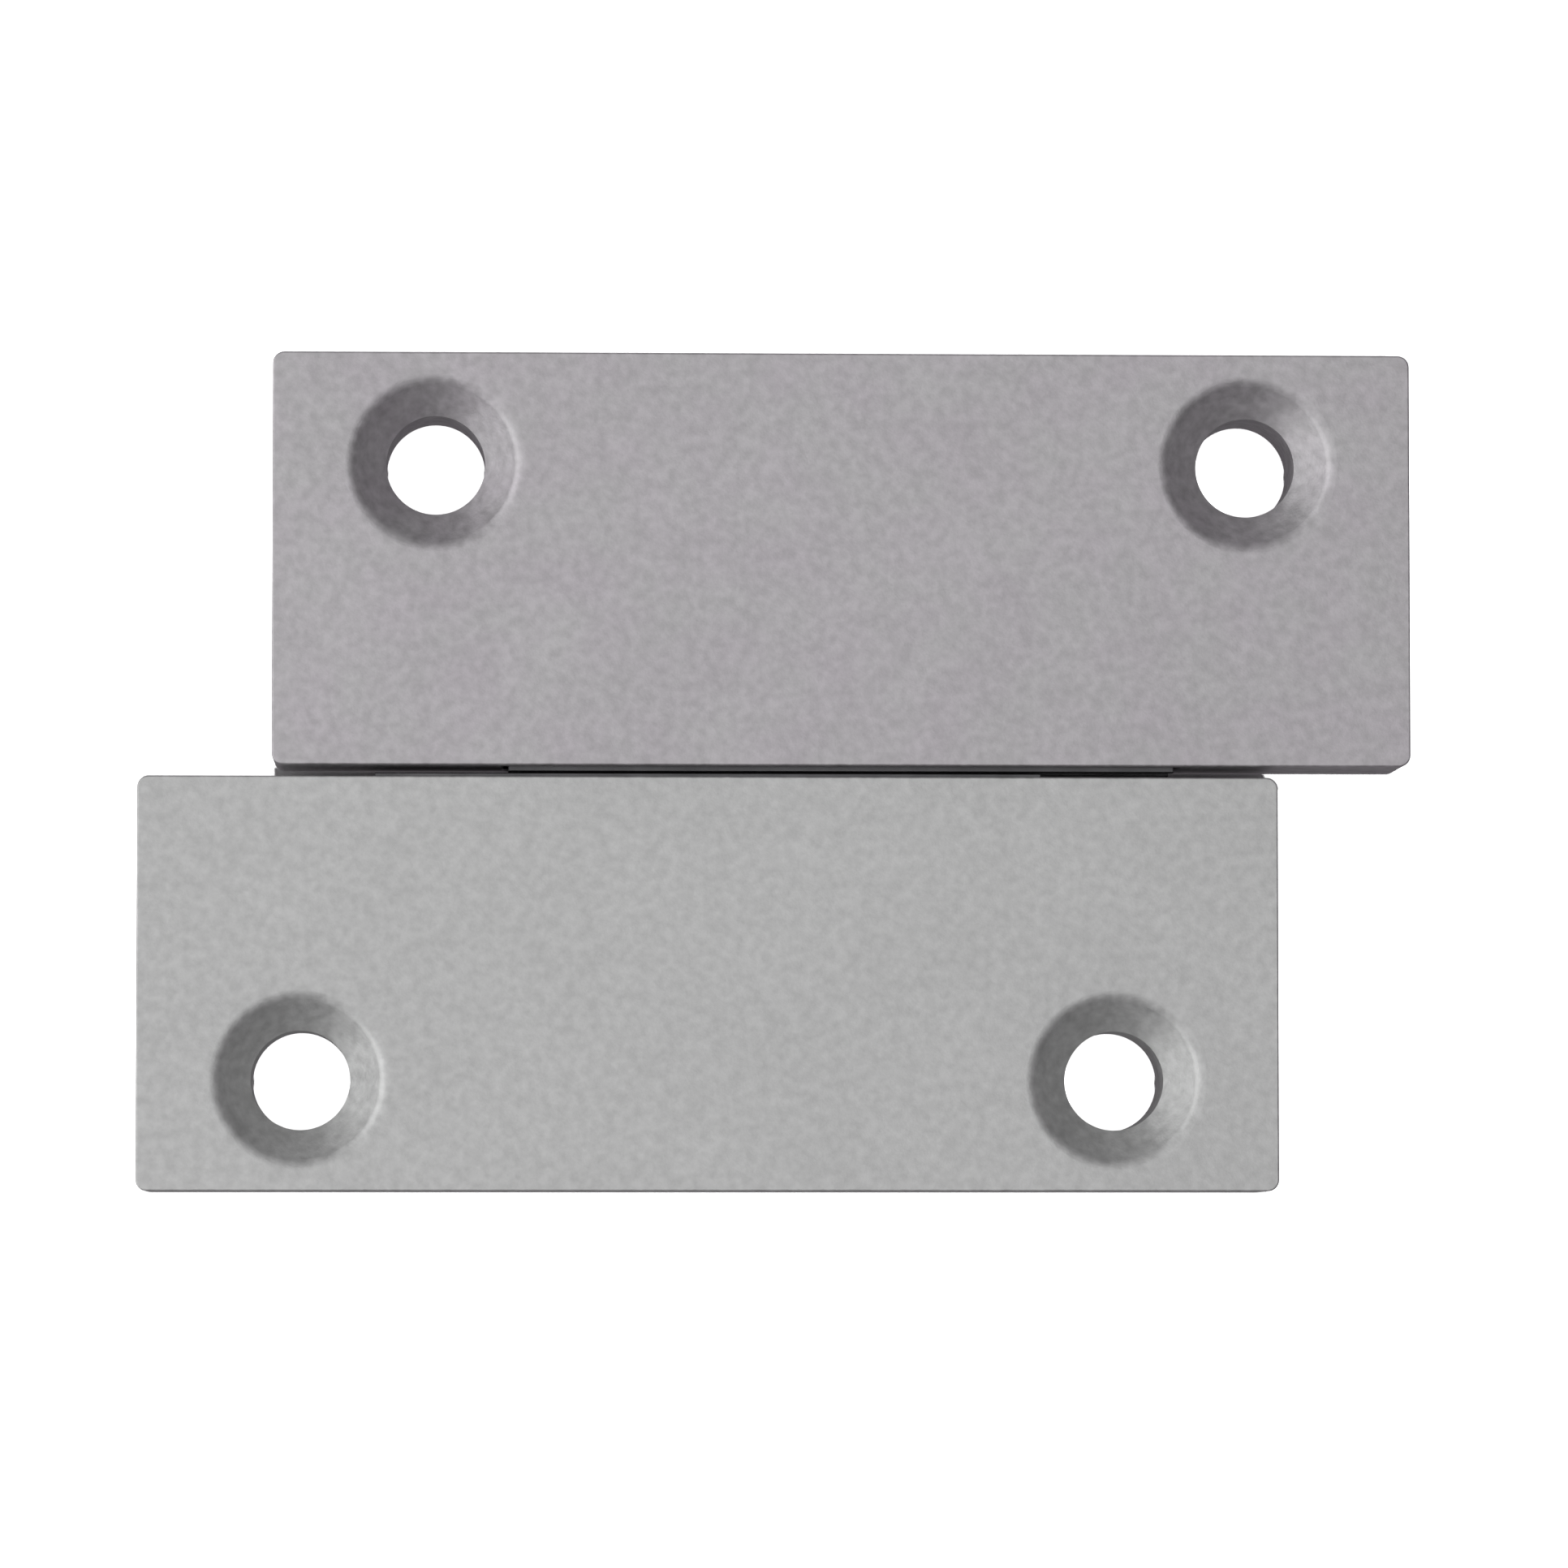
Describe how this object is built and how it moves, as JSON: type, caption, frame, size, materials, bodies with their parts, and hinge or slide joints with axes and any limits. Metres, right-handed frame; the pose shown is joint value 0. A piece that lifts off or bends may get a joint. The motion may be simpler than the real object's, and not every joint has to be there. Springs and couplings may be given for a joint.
{
  "type": "magnetic door lock",
  "caption": "Magnetic door lock in two flat metal halves, for frame and door, each with countersunk screw holes and a floating magnet pack in its mating edge.",
  "frame": {"origin": "middle of the closed joint between the two halves, in the plane of the faces that are screwed to the frame and the door", "axes": "+X along the length of the halves, +Y from the door half towards the frame half, +Z out of the mounting plane towards the countersunk front faces"},
  "size_m": [0.0782, 0.0516, 0.008],
  "materials": {
    "housing_aluminium": "fine bead-blasted, clear anodised, light silver grey",
    "cover_aluminium": "brushed sheet, clear anodised",
    "pole_steel": "ground mild steel, thin black oxide",
    "magnet_nickel": "bright nickel plated sintered magnet",
    "carrier_plastic": "black moulded plastic, fine texture",
    "rivet_brass": "plain brass, pressed flush",
    "screw_steel": "zinc plated",
    "buffer_rubber": "black closed-cell rubber"
  },
  "bodies": {
    "frame_half": {"frame_housing": "housing_aluminium", "frame_rear_cover": "cover_aluminium", "frame_cover_screw_1": "screw_steel", "frame_cover_screw_2": "screw_steel", "frame_cover_screw_3": "screw_steel", "frame_cover_screw_4": "screw_steel", "frame_buffer_strip": "buffer_rubber"},
    "frame_magnet_pack": {"frame_outer_pole_plate": "pole_steel", "frame_inner_pole_plate": "pole_steel", "frame_magnet_carrier": "carrier_plastic", "frame_magnet_1": "magnet_nickel", "frame_magnet_2": "magnet_nickel", "frame_magnet_3": "magnet_nickel", "frame_pack_rivet_1": "rivet_brass", "frame_pack_rivet_2": "rivet_brass"},
    "door_half": {"door_housing": "housing_aluminium", "door_rear_cover": "cover_aluminium", "door_cover_screw_1": "screw_steel", "door_cover_screw_2": "screw_steel", "door_cover_screw_3": "screw_steel", "door_cover_screw_4": "screw_steel", "door_buffer_strip": "buffer_rubber"},
    "door_magnet_pack": {"door_outer_pole_plate": "pole_steel", "door_inner_pole_plate": "pole_steel", "door_magnet_carrier": "carrier_plastic", "door_magnet_1": "magnet_nickel", "door_magnet_2": "magnet_nickel", "door_magnet_3": "magnet_nickel", "door_pack_rivet_1": "rivet_brass", "door_pack_rivet_2": "rivet_brass"}
  },
  "joints": [
    {"name": "door_pull", "type": "slide", "parent": "frame_half", "child": "door_half", "axis": [0, -1, 0], "range_m": [0, 0.04]},
    {"name": "frame_pack_float", "type": "slide", "parent": "frame_half", "child": "frame_magnet_pack", "axis": [0, 1, 0], "range_m": [0, 0.0009]},
    {"name": "door_pack_float", "type": "slide", "parent": "door_half", "child": "door_magnet_pack", "axis": [0, -1, 0], "range_m": [0, 0.0009]}
  ]
}
